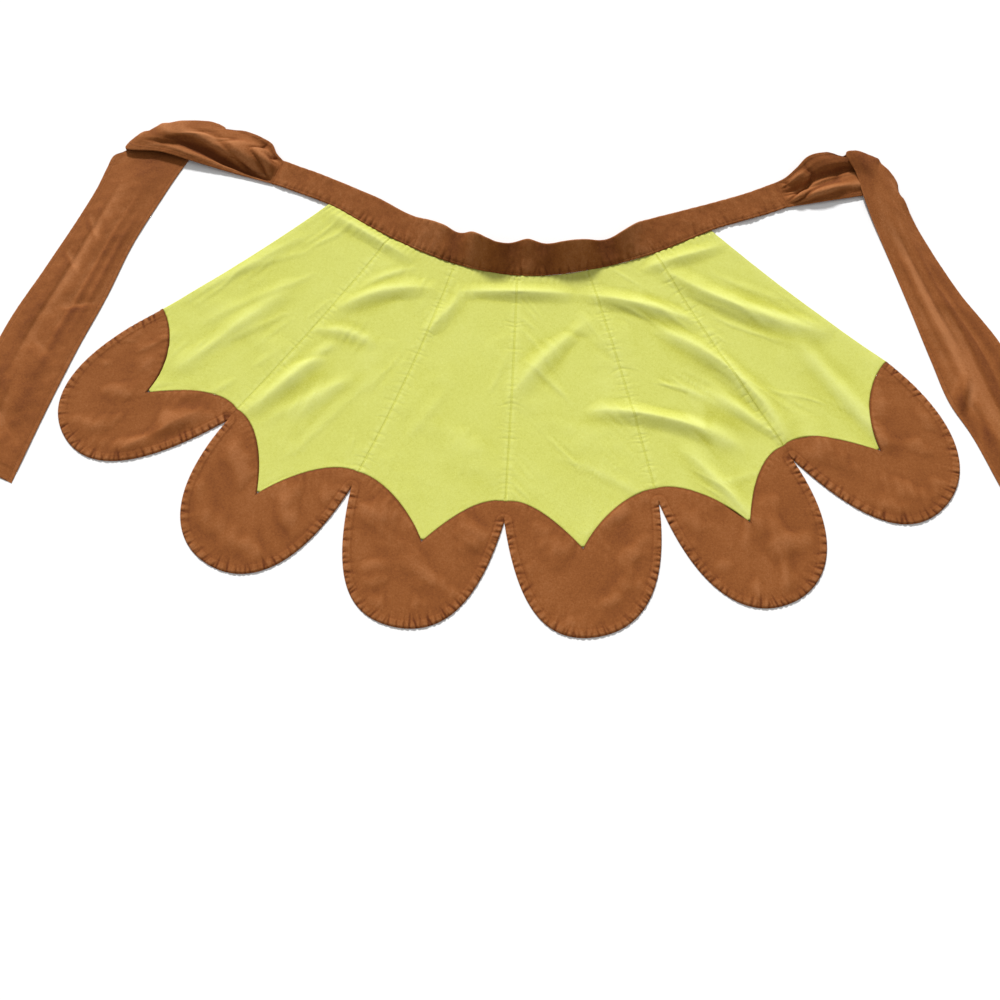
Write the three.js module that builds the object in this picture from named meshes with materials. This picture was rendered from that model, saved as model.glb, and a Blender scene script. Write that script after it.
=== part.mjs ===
// A waist apron lying flat: six flared gores, each with a rounded petal at its hem,
// a curved waistband whose outer edge stands up a little, and two wide ties.
// Millimetres, +Z up. The cloth lies on z = 0, and +Y runs from the petals to the waistband.
import * as THREE from "three";

// Driving dimensions
const BAND_LENGTH = 660; // seam edge of the waistband from end to end
const BAND_WIDTH = 40;
const BAND_THICKNESS = 3;
const GORE_LENGTH = 305; // along a seam from the waistband to the notch between two petals
const GORE_THICKNESS = 1.2;
const PETAL_LENGTH = 160; // from the line between a petal's notches to its round end
const PETAL_THICKNESS = 2.4; // the petals are lined with the same cloth
const PETAL_SEAM = 20; // short seam that joins two petals above the notch between them
const POINT_DROP = 60; // how far the longest point of a gore reaches past its notches
const FOLD_HEIGHT = 7; // tallest fold of the skirt
const FOLD_WIDTH = 30; // half the width of the broadest fold
const TIE_WIDTH = 90;
const TIE_THICKNESS = 1.5;
const TIE_RUN = 190; // longer edge of a tie from the waistband to where it folds back
const TIE_DROP = 520; // from that fold to the free end
const TIE_TURN = 14; // height of the soft turn where a tie folds back
const TIE_CROWN = 7; // how far that turn bows outwards in its middle
const TIE_CORNER = 7; // how far the ends of the fold are rounded off
const TIE_CLEARANCE = 10; // between a tie and the petal that it passes
const SEAM_GAP = 0.4; // between neighbouring pieces

// How the curves of the pattern run, as shares of the piece that each belongs to
const ARCH_FLATNESS = 0.17; // of a gap between notches that a hem line keeps level beside its arch
const POINT_WIDTH = 0.12; // half width of a gore's point, a short way before it ends
const POINT_START = 0.28; // of the point's drop at which it narrows to that width
const FLANK_START = 0.7; // of the petal's length at which its flanks swell the most
const ROUND_END = 0.31; // half width of the petal's round end
const PASSING_RADIUS = 0.47; // of a petal's width: the circle that a tie passes
const CORNER_START = 0.66; // of half the fold's length, where the rounding of its ends begins
const SLANT_FADE = 0.3; // of the drop in which its sections turn square to it
const CROWN_FADE = 0.12; // of the drop in which the bow of the turn dies out
const MITRE_LIMIT = 0.5; // smallest squared length of the inward direction at a sharp corner

// How finely the cloth is divided
const GORE_COLUMNS = 12;
const GORE_ROWS = 15;
const PETAL_ROWS = 7;
const BAND_COLUMNS = 48;
const BAND_ROWS = 3;
const TIE_COLUMNS = 10;
const TURN_STEPS = 5;

const YELLOW = 0xd9dc73;
const BROWN = 0x91562d;

// The waistband at equal steps along its seam edge.
// x, y: place of the seam edge, in shares of BAND_LENGTH; width: share of BAND_WIDTH;
// rise: how steeply the band leans up from the floor, in degrees.
const BAND = [
  { x: -0.443, y: 0.196, width: 0.84, rise: 5 },
  { x: -0.384, y: 0.172, width: 0.82, rise: 6 },
  { x: -0.328, y: 0.146, width: 0.81, rise: 8 },
  { x: -0.276, y: 0.112, width: 0.91, rise: 10 },
  { x: -0.222, y: 0.079, width: 0.89, rise: 12 },
  { x: -0.167, y: 0.05, width: 0.92, rise: 20 },
  { x: -0.11, y: 0.026, width: 1.0, rise: 30 },
  { x: -0.049, y: 0.009, width: 0.94, rise: 42 },
  { x: 0.012, y: 0.001, width: 1.03, rise: 30 },
  { x: 0.074, y: 0.004, width: 0.95, rise: 40 },
  { x: 0.136, y: 0.015, width: 0.87, rise: 38 },
  { x: 0.196, y: 0.031, width: 0.85, rise: 30 },
  { x: 0.255, y: 0.052, width: 1.02, rise: 16 },
  { x: 0.312, y: 0.079, width: 0.93, rise: 10 },
  { x: 0.368, y: 0.104, width: 0.82, rise: 7 },
  { x: 0.428, y: 0.123, width: 0.84, rise: 6 },
  { x: 0.486, y: 0.145, width: 0.88, rise: 5 },
];

// The two side edges and the five seams between the gores, from left to right.
// at: share of the waistband's length; heading: degrees from +X; length: share of GORE_LENGTH;
// bow: how far its middle bends to its left, in shares of GORE_LENGTH;
// short: share of PETAL_SEAM that the petals beside it have above the notch.
const SEAMS = [
  { at: 0.113, heading: -142.3, length: 0.783, bow: 0.01, short: 0.2 },
  { at: 0.246, heading: -126.2, length: 0.984, bow: 0.01, short: 0.87 },
  { at: 0.375, heading: -111.1, length: 1.016, bow: 0.016, short: 1 },
  { at: 0.488, heading: -92.8, length: 1.032, bow: 0.003, short: 1.2 },
  { at: 0.614, heading: -76.4, length: 1.007, bow: 0.008, short: 0.85 },
  { at: 0.739, heading: -61.9, length: 0.996, bow: -0.008, short: 0.87 },
  { at: 0.853, heading: -42.8, length: 0.864, bow: -0.012, short: 0.2 },
];

// One row for each petal and the point of the gore above it.
// length: share of PETAL_LENGTH; tip: its round end's shift along the line between its notches,
// in shares of that line; left, right: how far its flanks swell, in shares of that line;
// point: the gore's point, in shares of POINT_DROP; lean: that point's shift along the line.
const PETALS = [
  { length: 1.03, tip: 0.04, left: 0.5, right: 0.52, point: 1.02, lean: 0.03 },
  { length: 0.975, tip: 0.0, left: 0.56, right: 0.52, point: 0.99, lean: -0.02 },
  { length: 0.92, tip: 0.0, left: 0.46, right: 0.48, point: 0.74, lean: 0.03 },
  { length: 0.915, tip: -0.05, left: 0.5, right: 0.47, point: 0.73, lean: -0.03 },
  { length: 0.99, tip: 0.03, left: 0.5, right: 0.62, point: 0.95, lean: 0.03 },
  { length: 0.99, tip: -0.08, left: 0.54, right: 0.5, point: 1.08, lean: -0.05 },
];

// The folds of the skirt, each a ridge between two places of the fan.
// from, to: gore counted from the left side edge, and share of the way down to the notches;
// height: share of FOLD_HEIGHT; width: share of FOLD_WIDTH; bow: bend of the ridge to its left,
// in shares of its length.
const FOLDS = [
  { from: [1.05, 0.42], to: [2.0, 0.12], height: 0.6, width: 0.6, bow: 0.1 },
  { from: [1.0, 0.52], to: [1.65, 0.44], height: 0.4, width: 0.5, bow: 0.1 },
  { from: [1.05, 0.98], to: [1.32, 0.46], height: 0.6, width: 0.6, bow: 0 },
  { from: [1.35, 0.86], to: [1.6, 0.58], height: 0.3, width: 0.5, bow: 0 },
  { from: [2.1, 0.12], to: [3.85, 0.1], height: 0.7, width: 0.5, bow: 0 },
  { from: [3.75, 0.09], to: [5.0, 0.36], height: 0.9, width: 0.6, bow: 0.03 },
  { from: [4.85, 0.02], to: [5.86, 0.74], height: 1.0, width: 0.7, bow: -0.06 },
  { from: [2.95, 0.54], to: [3.95, 0.2], height: 0.5, width: 0.7, bow: 0.04 },
  { from: [4.4, 0.28], to: [5.02, 1.0], height: 0.9, width: 0.6, bow: 0.12 },
  { from: [3.6, 0.58], to: [4.75, 0.9], height: 0.9, width: 0.6, bow: 0.07 },
  { from: [4.7, 0.6], to: [5.02, 0.93], height: 0.5, width: 0.45, bow: 0 },
  { from: [5.58, 0.6], to: [5.5, 1.3], height: 0.5, width: 0.6, bow: 0 },
  { from: [4.3, 0.8], to: [4.57, 1.2], height: 0.5, width: 0.5, bow: 0 },
  { from: [2.3, 0.1], to: [2.0, 0.36], height: 0.35, width: 0.5, bow: 0 },
  { from: [0.1, 0.8], to: [0.25, 0.2], height: 0.35, width: 0.5, bow: 0 },
  { from: [0.5, 1.1], to: [0.62, 0.4], height: 0.4, width: 0.6, bow: 0 },
  { from: [0.62, 1.5], to: [0.86, 0.98], height: 0.5, width: 0.6, bow: 0 },
  { from: [4.7, 1.05], to: [4.5, 1.6], height: 0.4, width: 0.8, bow: 0 },
  { from: [0.05, 0.04], to: [1.5, 0.05], height: 0.6, width: 0.5, bow: 0 },
  { from: [4.6, 0.05], to: [5.97, 0.1], height: 0.5, width: 0.5, bow: 0 },
];

// The ties. side: -1 at the left end of the waistband and 1 at the right.
// pivot: the near end of the fold from the waistband's end, in shares of TIE_RUN;
// slant: its far end from the pivot, along and across the drop, in shares of TIE_WIDTH;
// start, finish: heights of the run and the drop at the fold, in shares of TIE_TURN: at its far end,
// at its near end, and what the middle has on top.
// run: along, share of the way to the fold; bulge: upper edge pushed out, share of TIE_WIDTH;
// low, high: heights of the lower and upper edges, and puff: what the middle has on top, in shares
// of TIE_TURN.
// pleats: across, place from the lower edge to the upper; spread: half width; height: share of
// TIE_TURN; reach: share of the run.
// drop: along, share of TIE_DROP; inner, outer: edges from the line of the drop, in shares of
// TIE_WIDTH; lift: height, and ridge: height of the middle, in shares of TIE_TURN.
const LEFT_TIE = {
  side: -1,
  pivot: [-0.32, 0.435],
  slant: [0.86, 1.04],
  start: [0.35, 0.35, 0.65],
  finish: [0, 0, 0],
  run: [
    { along: 0.12, bulge: 0.03, low: 0.02, high: 0.35, puff: 0.2 },
    { along: 0.3, bulge: 0.12, low: 0.06, high: 0.4, puff: 0.4 },
    { along: 0.5, bulge: 0.14, low: 0.25, high: 0.4, puff: 0.4 },
    { along: 0.75, bulge: 0.09, low: 0.5, high: 0.4, puff: 0.45 },
  ],
  pleats: [
    { across: 0.2, spread: 0.2, height: -0.3, reach: 0.6 },
    { across: 0.55, spread: 0.3, height: 0.5, reach: 0.8 },
    { across: 0.85, spread: 0.15, height: -0.25, reach: 0.7 },
  ],
  drop: [
    { along: 0.07, inner: 0.13, outer: 1.1, lift: 0, ridge: 0.05 },
    { along: 0.14, inner: 0.17, outer: 1.08, lift: 0, ridge: 0.1 },
    { along: 0.25, inner: 0.17, outer: 1.03, lift: 0, ridge: 0.2 },
    { along: 0.36, inner: 0.15, outer: 1.0, lift: 0, ridge: 0.25 },
    { along: 0.52, inner: 0.03, outer: 0.98, lift: 0, ridge: 0.15 },
    { along: 0.66, inner: -0.04, outer: 0.97, lift: 0, ridge: 0.1 },
    { along: 0.8, inner: -0.14, outer: 0.88, lift: 0, ridge: 0.15 },
    { along: 1, inner: -0.31, outer: 0.71, lift: 0, ridge: 0.05 },
  ],
};
const RIGHT_TIE = {
  side: 1,
  pivot: [0.41, 0.39],
  slant: [0.72, 0.48],
  start: [0, 0.8, 0],
  finish: [0.2, 1.15, 0.15],
  run: [
    { along: 0.12, bulge: 0, low: 0.05, high: 0.4, puff: 0 },
    { along: 0.3, bulge: 0.04, low: 0.1, high: 0.9, puff: 0 },
    { along: 0.5, bulge: 0.12, low: 0.1, high: 1.1, puff: -0.1 },
    { along: 0.75, bulge: 0.1, low: 0.05, high: 0.95, puff: -0.1 },
  ],
  pleats: [
    { across: 0.25, spread: 0.2, height: 0.2, reach: 0.8 },
    { across: 0.5, spread: 0.2, height: -0.3, reach: 0.9 },
  ],
  drop: [
    { along: 0.06, inner: -0.03, outer: 0.43, lift: 0.62, ridge: 0.25 },
    { along: 0.12, inner: -0.05, outer: 0.44, lift: 0.4, ridge: 0.4 },
    { along: 0.18, inner: -0.06, outer: 0.46, lift: 0.2, ridge: 0.5 },
    { along: 0.26, inner: -0.06, outer: 0.5, lift: 0.05, ridge: 0.5 },
    { along: 0.42, inner: -0.07, outer: 0.64, lift: 0, ridge: 0.4 },
    { along: 0.56, inner: -0.09, outer: 0.85, lift: 0, ridge: 0.2 },
    { along: 0.67, inner: -0.09, outer: 0.91, lift: 0, ridge: 0.15 },
    { along: 0.75, inner: 0, outer: 0.98, lift: 0, ridge: 0.15 },
    { along: 0.88, inner: 0.07, outer: 1.06, lift: 0, ridge: 0.1 },
    { along: 1, inner: 0.14, outer: 1.13, lift: 0, ridge: 0.05 },
  ],
};

const { clamp, degToRad, lerp } = THREE.MathUtils;
const vector = (x, y) => new THREE.Vector2(x, y);
const headingVector = (degrees) => vector(Math.cos(degToRad(degrees)), Math.sin(degToRad(degrees)));
const turnedLeft = (v) => vector(-v.y, v.x);
const steps = (count) => Array.from({ length: count + 1 }, (_, i) => i / count);

// A smooth curve through equally spaced values, read at a place counted in values.
function smooth(values, place) {
  const last = values.length - 1;
  const i = clamp(Math.floor(place), 0, last - 1);
  const t = place - i;
  const [a, b, c, d] = [i - 1, i, i + 1, i + 2].map((k) => values[clamp(k, 0, last)]);
  return b + 0.5 * t * (c - a + t * (2 * a - 5 * b + 4 * c - d + t * (3 * (b - c) + d - a)));
}

// One column of a table, read smoothly at a share of its length.
function column(table, name, share) {
  return smooth(table.map((row) => row[name]), share * (table.length - 1));
}

// A cubic curve from start to end.
function cubic(start, first, second, end, t) {
  return new THREE.CubicBezierCurve(start, first, second, end).getPoint(t);
}

// A smooth hump: 1 at the middle, 0 from a distance of 1 outwards.
function hump(distance) {
  const d = clamp(Math.abs(distance), 0, 1);
  return (1 + Math.cos(Math.PI * d)) / 2;
}

// The seam edge of the waistband at a share of its length.
function bandEdge(share) {
  return vector(column(BAND, "x", share), column(BAND, "y", share)).multiplyScalar(BAND_LENGTH);
}

// Direction along the seam edge of the waistband.
function bandDirection(share) {
  const step = 0.5 / BAND_COLUMNS;
  const after = bandEdge(Math.min(share + step, 1));
  return after.sub(bandEdge(Math.max(share - step, 0))).normalize();
}

// Each seam with its ends worked out: waist, notch, and the top of the short seam above the notch.
const seams = SEAMS.map((row) => {
  const along = headingVector(row.heading);
  const waist = bandEdge(row.at);
  const notch = waist.clone().addScaledVector(along, row.length * GORE_LENGTH);
  const arch = notch.clone().addScaledVector(along, -row.short * PETAL_SEAM);
  const bow = turnedLeft(along).multiplyScalar(row.bow * GORE_LENGTH);
  return { ...row, waist, notch, arch, bow };
});

// A place of the fan, by gore and by share of the way from the waist to the notches.
function fanPlace([gore, down]) {
  const waist = bandEdge(smooth(seams.map((seam) => seam.at), gore));
  const notchX = smooth(seams.map((seam) => seam.notch.x), gore);
  const notchY = smooth(seams.map((seam) => seam.notch.y), gore);
  return waist.lerp(vector(notchX, notchY), down);
}

const folds = FOLDS.map((row) => {
  const start = fanPlace(row.from);
  const run = fanPlace(row.to).sub(start);
  return { ...row, start, along: run.clone().normalize(), reach: run.length() };
});

// Height of the cloth's underside at a place of the skirt: the sum of the folds that cross it.
function lift(place) {
  let height = 0;
  for (const fold of folds) {
    const offset = place.clone().sub(fold.start);
    const share = offset.dot(fold.along) / fold.reach;
    if (share <= 0 || share >= 1) continue;
    const bend = fold.bow * fold.reach * 4 * share * (1 - share);
    const aside = offset.dot(turnedLeft(fold.along)) - bend;
    const ends = Math.sin(Math.PI * share);
    height += fold.height * FOLD_HEIGHT * ends * hump(aside / (fold.width * FOLD_WIDTH));
  }
  return height;
}

// The frame of petal i: the middle of the line between its notches, the line's direction and length,
// and the direction in which the petal reaches out.
function petalFrame(i) {
  const chord = seams[i + 1].notch.clone().sub(seams[i].notch);
  const along = chord.clone().normalize();
  const middle = seams[i].notch.clone().lerp(seams[i + 1].notch, 0.5);
  return { along, width: chord.length(), middle, out: turnedLeft(along).negate() };
}

// A place in the frame of a petal: along in shares of its width, out in millimetres.
function petalPlace(frame, along, out) {
  const place = frame.middle.clone().addScaledVector(frame.along, along * frame.width);
  return place.addScaledVector(frame.out, out);
}

// The line where gore i ends and its petal begins: two hollow flanks that meet in the gore's point.
function hemLine(i, u) {
  const frame = petalFrame(i);
  const { point, lean } = PETALS[i];
  const drop = point * POINT_DROP;
  const tip = petalPlace(frame, lean, drop);
  const side = u < 0.5 ? -1 : 1;
  const corner = seams[side < 0 ? i : i + 1].arch;
  const level = -side * ARCH_FLATNESS * frame.width;
  const first = corner.clone().addScaledVector(frame.along, level);
  const second = petalPlace(frame, lean + side * POINT_WIDTH, POINT_START * drop);
  return cubic(corner, first, second, tip, 1 - Math.abs(2 * u - 1));
}

// The outer edge of petal i from notch to notch: two full flanks that meet at its round end.
function petalEdge(i, u) {
  const frame = petalFrame(i);
  const { length, tip, left, right } = PETALS[i];
  const out = length * PETAL_LENGTH;
  const side = u < 0.5 ? -1 : 1;
  const corner = seams[side < 0 ? i : i + 1].notch;
  const first = petalPlace(frame, side < 0 ? -left : right, FLANK_START * out);
  const second = petalPlace(frame, tip + side * ROUND_END, out);
  return cubic(corner, first, second, petalPlace(frame, tip, out), 1 - Math.abs(2 * u - 1));
}

// The plan of gore i as a grid of places, from the waistband down to its hem line.
function gorePlan(i) {
  const [left, right] = [seams[i], seams[i + 1]];
  return steps(GORE_ROWS).map((v) =>
    steps(GORE_COLUMNS).map((u) => {
      const waist = bandEdge(lerp(left.at, right.at, u));
      const bow = left.bow.clone().lerp(right.bow, u).multiplyScalar(4 * v * (1 - v));
      return waist.lerp(hemLine(i, u), v).add(bow);
    }),
  );
}

// The plan of petal i as a grid of places, from the hem line out to its edge.
function petalPlan(i) {
  return steps(PETAL_ROWS).map((v) =>
    steps(GORE_COLUMNS).map((u) => hemLine(i, u).lerp(petalEdge(i, u), v)),
  );
}

// The same plan with its border drawn in by half the gap between neighbours.
function drawnIn(plan) {
  const rows = plan.length - 1;
  const columns = plan[0].length - 1;
  const border = [];
  for (let c = 0; c < columns; c++) border.push([0, c]);
  for (let r = 0; r < rows; r++) border.push([r, columns]);
  for (let c = columns; c > 0; c--) border.push([rows, c]);
  for (let r = rows; r > 0; r--) border.push([r, 0]);
  const result = plan.map((row) => row.map((place) => place.clone()));
  const placeOf = (k) => plan[border.at(k % border.length)[0]][border.at(k % border.length)[1]];
  border.forEach(([r, c], k) => {
    const here = placeOf(k);
    const before = here.clone().sub(placeOf(k + border.length - 1)).normalize();
    const after = placeOf(k + 1).clone().sub(here).normalize();
    const inward = turnedLeft(before).add(turnedLeft(after)).negate();
    const reach = SEAM_GAP / Math.max(inward.lengthSq(), MITRE_LIMIT);
    result[r][c].addScaledVector(inward, reach);
  });
  return result;
}

// A closed body between two grids of points that have the same size.
function shell(top, bottom) {
  const rows = top.length - 1;
  const columns = top[0].length - 1;
  const points = [...top.flat(), ...bottom.flat()];
  const index = (r, c) => r * (columns + 1) + c;
  const under = (rows + 1) * (columns + 1);
  const faces = [];
  const quad = (a, b, c, d) => faces.push(a, b, c, a, c, d);
  for (let r = 0; r < rows; r++)
    for (let c = 0; c < columns; c++) {
      const corners = [index(r, c), index(r + 1, c), index(r + 1, c + 1), index(r, c + 1)];
      quad(...corners);
      quad(...corners.map((k) => k + under).reverse());
    }
  const side = (a, b) => quad(b, a, a + under, b + under);
  for (let c = 0; c < columns; c++) {
    side(index(0, c + 1), index(0, c));
    side(index(rows, c), index(rows, c + 1));
  }
  for (let r = 0; r < rows; r++) {
    side(index(r, 0), index(r + 1, 0));
    side(index(r + 1, columns), index(r, columns));
  }
  const geometry = new THREE.BufferGeometry();
  geometry.setAttribute(
    "position",
    new THREE.Float32BufferAttribute(points.flatMap((p) => [p.x, p.y, p.z]), 3),
  );
  geometry.setIndex(faces);
  return geometry;
}

// Cloth that lies on the floor over a plan, raised by the folds.
function laidCloth(plan, thickness) {
  const inside = drawnIn(plan);
  const layer = (height) =>
    inside.map((row, r) =>
      row.map((place, c) => new THREE.Vector3(place.x, place.y, lift(plan[r][c]) + height)),
    );
  return shell(layer(thickness), layer(0));
}

// Cloth of a thickness about a middle surface, given as a grid of points.
function thickCloth(middle, thickness) {
  const at = (r, c) => middle[clamp(r, 0, middle.length - 1)][clamp(c, 0, middle[0].length - 1)];
  const layer = (distance) =>
    middle.map((row, r) =>
      row.map((point, c) => {
        const down = at(r + 1, c).clone().sub(at(r - 1, c));
        const across = at(r, c + 1).clone().sub(at(r, c - 1));
        const normal = down.cross(across).normalize();
        return point.clone().addScaledVector(normal, distance);
      }),
    );
  return shell(layer(thickness / 2), layer(-thickness / 2));
}

// The middle surface of the waistband at a share of its length and of its width.
function bandPoint(share, across) {
  const edge = bandEdge(share);
  const out = turnedLeft(bandDirection(share));
  const rise = degToRad(column(BAND, "rise", share));
  const width = column(BAND, "width", share) * BAND_WIDTH;
  const reach = SEAM_GAP / 2 + across * width * Math.cos(rise);
  edge.addScaledVector(out, reach);
  const height = BAND_THICKNESS / 2 + across * width * Math.sin(rise);
  return new THREE.Vector3(edge.x, edge.y, height);
}

function waistband() {
  const grid = steps(BAND_ROWS).map((across) =>
    steps(BAND_COLUMNS).map((share) => bandPoint(share, 1 - across)),
  );
  return thickCloth(grid, BAND_THICKNESS);
}

// The line of a tie's drop: it starts at the near end of the fold and clears the petal beside it.
function dropLine(tie) {
  const end = bandEdge(tie.side < 0 ? 0 : 1);
  const pivot = end.add(vector(...tie.pivot).multiplyScalar(TIE_RUN));
  const frame = petalFrame(tie.side < 0 ? 0 : PETALS.length - 1);
  const radius = PASSING_RADIUS * frame.width;
  const centre = petalPlace(frame, 0, PETAL_LENGTH - radius);
  const toCentre = centre.clone().sub(pivot);
  const spread = Math.asin((radius + TIE_CLEARANCE) / toCentre.length());
  const along = toCentre.normalize().rotateAround(vector(0, 0), tie.side * spread);
  const across = turnedLeft(along).multiplyScalar(tie.side);
  return { pivot, along, across };
}

// A point of the tie's plan, along and across the line of its drop, with its height.
function dropPoint(line, along, across, height) {
  const place = line.pivot.clone().addScaledVector(line.along, along);
  place.addScaledVector(line.across, across);
  return new THREE.Vector3(place.x, place.y, height);
}

// Height across the fold of a tie: a slope from its far end to its near end, and an arch on top.
function foldHeight([far, near, middle], across) {
  return TIE_TURN * (lerp(far, near, across) + middle * Math.sin(Math.PI * across));
}

// How far the fold's ends are rounded off at a place across it.
function cornerCut(across) {
  const past = Math.max(Math.abs(2 * across - 1) - CORNER_START, 0) / (1 - CORNER_START);
  return TIE_CORNER * past * past;
}

// The sections of a tie from the waistband to its free end. Each has an outer and an inner edge,
// the height that is added at a place between them, and how far that place bows outwards.
function tieSections(tie) {
  const { side } = tie;
  const line = dropLine(tie);
  const level = (share) => TIE_THICKNESS / 2 + share * TIE_TURN;
  const far = tie.slant.map((share) => share * TIE_WIDTH);
  const foldInner = dropPoint(line, 0, 0, level(0));
  const foldOuter = dropPoint(line, ...far, level(0));
  const foldRun = foldOuter.clone().sub(foldInner).normalize();
  const outward = new THREE.Vector3(-foldRun.y, foldRun.x, 0).multiplyScalar(side);
  const bandEnd = side < 0 ? 0 : 1;
  const away = bandDirection(bandEnd).multiplyScalar(side * SEAM_GAP);
  const clear = new THREE.Vector3(away.x, away.y, 0);
  const crown = (across) => TIE_CROWN * Math.sin(Math.PI * across);
  const sections = [];

  const endOuter = bandPoint(bandEnd, 0).add(clear);
  const endInner = bandPoint(bandEnd, 1).add(clear);
  const flat = () => 0;
  sections.push({ outer: endOuter, inner: endInner, raise: flat, bow: flat });
  for (const row of tie.run) {
    const outer = endOuter.clone().lerp(foldOuter, row.along).setZ(level(row.low));
    const inner = endInner.clone().lerp(foldInner, row.along).setZ(level(row.high));
    const push = inner.clone().sub(outer).setZ(0).normalize();
    inner.addScaledVector(push, row.bulge * TIE_WIDTH);
    const raise = (across) =>
      tie.pleats.reduce((sum, pleat) => {
        const fade = Math.sin(Math.PI * Math.sqrt(clamp(row.along / pleat.reach, 0, 1)));
        return sum + fade * pleat.height * TIE_TURN * hump((across - pleat.across) / pleat.spread);
      }, row.puff * TIE_TURN * hump(2 * across - 1));
    const bow = (across) => row.along * row.along * crown(across);
    sections.push({ outer, inner, raise, bow });
  }

  for (const turn of steps(TURN_STEPS)) {
    const share = (1 - Math.cos(Math.PI * turn)) / 2;
    const raise = (across) =>
      lerp(foldHeight(tie.start, across), foldHeight(tie.finish, across), share);
    const bow = (across) => {
      const height = foldHeight(tie.start, across) - foldHeight(tie.finish, across);
      const round = (Math.abs(height) / 2) * Math.sin(Math.PI * turn);
      return crown(across) + round - cornerCut(across);
    };
    sections.push({ outer: foldOuter, inner: foldInner, raise, bow });
  }

  for (const row of tie.drop) {
    const along = row.along * TIE_DROP;
    const slant = far[0] * (1 - clamp(row.along / SLANT_FADE, 0, 1));
    const height = level(row.lift);
    const outer = dropPoint(line, along + slant, row.outer * TIE_WIDTH, height);
    const inner = dropPoint(line, along, row.inner * TIE_WIDTH, height);
    const raise = (across) => row.ridge * TIE_TURN * hump(2 * across - 1);
    const fade = clamp(1 - row.along / CROWN_FADE, 0, 1);
    const bow = (across) => fade * crown(across);
    sections.push({ outer, inner, raise, bow });
  }
  return { sections, outward };
}

function tieCloth(tie) {
  const { sections, outward } = tieSections(tie);
  const grid = sections.map(({ outer, inner, raise, bow }) =>
    steps(TIE_COLUMNS).map((across) => {
      const point = outer.clone().lerp(inner, across);
      point.addScaledVector(outward, bow(across));
      point.z = Math.max(point.z + raise(across), TIE_THICKNESS / 2);
      return point;
    }),
  );
  if (tie.side < 0) grid.forEach((row) => row.reverse());
  return thickCloth(grid, TIE_THICKNESS);
}

function piece(name, geometry, color) {
  const material = new THREE.MeshStandardMaterial({ color, roughness: 0.9, metalness: 0 });
  const mesh = new THREE.Mesh(geometry, material);
  mesh.name = name;
  return mesh;
}

const apron = new THREE.Group();
apron.add(piece("waistband", waistband(), BROWN));
apron.add(piece("tie_left", tieCloth(LEFT_TIE), BROWN));
apron.add(piece("tie_right", tieCloth(RIGHT_TIE), BROWN));
PETALS.forEach((_, i) => {
  apron.add(piece(`gore_${i + 1}`, laidCloth(gorePlan(i), GORE_THICKNESS), YELLOW));
  apron.add(piece(`petal_${i + 1}`, laidCloth(petalPlan(i), PETAL_THICKNESS), BROWN));
});

// The apron's origin is below the middle of its outline.
const outline = new THREE.Box3().setFromObject(apron);
const centre = outline.getCenter(new THREE.Vector3());
apron.position.set(-centre.x, -centre.y, -outline.min.z);

export default apron;
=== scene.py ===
"""A waist apron lying flat: six flared gores, each with a lined petal at its hem, a waistband whose
outer edge stands up a little, and two wide ties that fold back. Lengths are in millimetres until a
mesh is made, x runs along the waistband and y from the petals to the waistband."""

import math

import bpy
import numpy as np
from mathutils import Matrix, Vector


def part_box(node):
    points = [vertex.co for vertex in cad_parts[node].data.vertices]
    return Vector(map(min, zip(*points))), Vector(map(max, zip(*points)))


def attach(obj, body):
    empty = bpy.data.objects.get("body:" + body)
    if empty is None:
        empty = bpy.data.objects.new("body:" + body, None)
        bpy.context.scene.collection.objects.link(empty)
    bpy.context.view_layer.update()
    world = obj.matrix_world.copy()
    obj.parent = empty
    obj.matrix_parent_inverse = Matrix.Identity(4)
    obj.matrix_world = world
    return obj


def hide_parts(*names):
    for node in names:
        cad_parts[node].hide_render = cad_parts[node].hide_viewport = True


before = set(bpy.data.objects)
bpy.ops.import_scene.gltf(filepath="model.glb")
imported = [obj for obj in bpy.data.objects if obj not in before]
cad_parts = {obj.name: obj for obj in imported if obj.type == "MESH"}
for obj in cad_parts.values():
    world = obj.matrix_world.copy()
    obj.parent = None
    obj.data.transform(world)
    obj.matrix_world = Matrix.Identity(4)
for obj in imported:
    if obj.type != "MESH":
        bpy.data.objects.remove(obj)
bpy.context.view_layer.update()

# Sizes of the apron, the same as in its solids
BAND_LENGTH = 660
BAND_WIDTH = 40
BAND_THICKNESS = 3
GORE_LENGTH = 305
PETAL_LENGTH = 160
PETAL_SEAM = 20
POINT_DROP = 60
FOLD_HEIGHT = 7
FOLD_WIDTH = 30
TIE_WIDTH = 90
TIE_THICKNESS = 1.5
TIE_RUN = 190
TIE_DROP = 520
TIE_TURN = 14
TIE_CROWN = 7
TIE_CORNER = 7
TIE_CLEARANCE = 10
DROP_START = TIE_RUN + 10
BAND_COLUMNS = 48
ARCH_FLATNESS = 0.17
POINT_WIDTH = 0.12
POINT_START = 0.28
FLANK_START = 0.7
ROUND_END = 0.31
PASSING_RADIUS = 0.47
CORNER_START = 0.66
SLANT_FADE = 0.3
CROWN_FADE = 0.12

# The cloth's thickness in each piece, and how far the gores stand off the floor
GORE_CLOTH = 0.9
PETAL_CLOTH = 1.8
BAND_CLOTH = 2.4
TIE_CLOTH = 1.1
GORE_LOFT = 0.35

# Sewing: widths of the seam allowances and hems, the pitch of gathers and of stitches, the share of
# it that a stitch covers, half the width of the thread, and the pitch of the woven threads
GORE_ALLOWANCE = 9
PETAL_ALLOWANCE = 9.5
TIE_HEM = 6.5
END_HEM = 17
PUCKER_PITCH = 7.0
STITCH_PITCH = 3.2
STITCH_SHARE = 0.74
STITCH_HALF = 0.3
THREAD_PITCH = 0.55

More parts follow.
